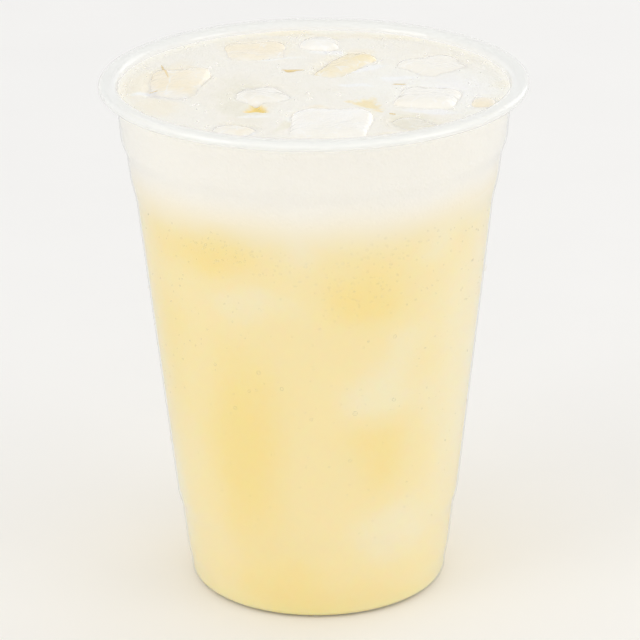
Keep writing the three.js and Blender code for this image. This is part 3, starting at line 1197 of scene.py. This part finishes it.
class LEMONADE_OT_stage(PieceOperator, bpy.types.Operator):
    """Set the floor, the lights and the camera"""

    bl_idname = "lemonade.stage"
    bl_label = "Stage"

    def execute(self, context):
        stage = context.scene.lemonade_stage
        self.floor(stage)
        self.camera(context.scene, stage)
        self.lights(context.scene)
        return {"FINISHED"}

    def floor(self, stage):
        """A wide round floor just under the foot."""
        bm = bmesh.new()
        bmesh.ops.create_circle(bm, cap_ends=True, segments=FLOOR_EDGES, radius=FLOOR_RADIUS)
        bmesh.ops.translate(bm, verts=bm.verts[:], vec=(0, 0, -FLOOR_GAP))
        mesh = plain_mesh("floor", bm)
        floor = new_object("floor", mesh)
        mesh.materials.append(pale_floor(stage))

    def camera(self, scene, stage):
        """The camera at the photograph's distance, height and roll."""
        data = bpy.data.cameras.new("camera")
        data.lens = stage.lens
        data.sensor_width = SENSOR_WIDTH
        camera = new_object("camera", data)
        back = Vector((0, -math.cos(stage.elevation), math.sin(stage.elevation)))
        camera.location = Vector(stage.aim) + back * stage.distance
        camera.rotation_mode = "QUATERNION"
        facing = (-back).to_track_quat("-Z", "Y")
        camera.rotation_quaternion = facing @ Quaternion((0, 0, 1), stage.roll)
        scene.camera = camera

    def lights(self, scene):
        """Even white studio light: soft lamps on both sides and behind, under a pale sky."""
        world = bpy.data.worlds.new("studio")
        world.use_nodes = True
        tree = world.node_tree
        tree.nodes.clear()
        direction = add(tree, "ShaderNodeTexCoord").outputs["Generated"]
        share = rise(tree, height_of(tree, direction), 0.0, 1.0)
        sky = mix_colour(tree, share, even(HORIZON), even(OVERHEAD))
        light = add(tree, "ShaderNodeBackground", {"Color": sky, "Strength": 1.0})
        add(tree, "ShaderNodeOutputWorld", {"Surface": light.outputs[0]})
        scene.world = world
        scene.view_settings.view_transform = "Standard"
        for name, place, power in LAMPS:
            data = bpy.data.lights.new(name, "AREA")
            data.size = LAMP_SIZE
            data.energy = power
            lamp = new_object(name, data)
            lamp.location = place
            lamp.rotation_mode = "QUATERNION"
            lamp.rotation_quaternion = (LAMP_AIM - Vector(place)).to_track_quat("-Z", "Y")


class LEMONADE_PT_panel(bpy.types.Panel):
    """Lists what the cup of lemonade is made of"""

    bl_idname = "LEMONADE_PT_panel"
    bl_label = "Iced Lemonade"
    bl_space_type = "VIEW_3D"
    bl_region_type = "UI"
    bl_category = "Lemonade"

    def draw(self, context):
        for kind in OPERATORS:
            self.layout.operator(kind.bl_idname)


OPERATORS = (
    LEMONADE_OT_cup,
    LEMONADE_OT_lemonade,
    LEMONADE_OT_ice,
    LEMONADE_OT_froth,
    LEMONADE_OT_bubbles,
    LEMONADE_OT_flecks,
    LEMONADE_OT_dew,
    LEMONADE_OT_stage,
)


def register():
    """Registers the groups of properties, the operators and the panel."""
    for name, group in GROUPS.items():
        bpy.utils.register_class(group)
        setattr(bpy.types.Scene, name, bpy.props.PointerProperty(type=group))
    for kind in (*OPERATORS, LEMONADE_PT_panel):
        bpy.utils.register_class(kind)


def unregister():
    """Takes back what register did."""
    for kind in reversed((*OPERATORS, LEMONADE_PT_panel)):
        bpy.utils.unregister_class(kind)
    for name, group in GROUPS.items():
        delattr(bpy.types.Scene, name)
        bpy.utils.unregister_class(group)


def main():
    """Builds every piece in order."""
    register()
    bpy.ops.lemonade.cup()
    bpy.ops.lemonade.lemonade()
    bpy.ops.lemonade.ice()
    bpy.ops.lemonade.froth()
    bpy.ops.lemonade.bubbles()
    bpy.ops.lemonade.flecks()
    bpy.ops.lemonade.dew()
    bpy.ops.lemonade.stage()


if __name__ == "__main__":
    main()
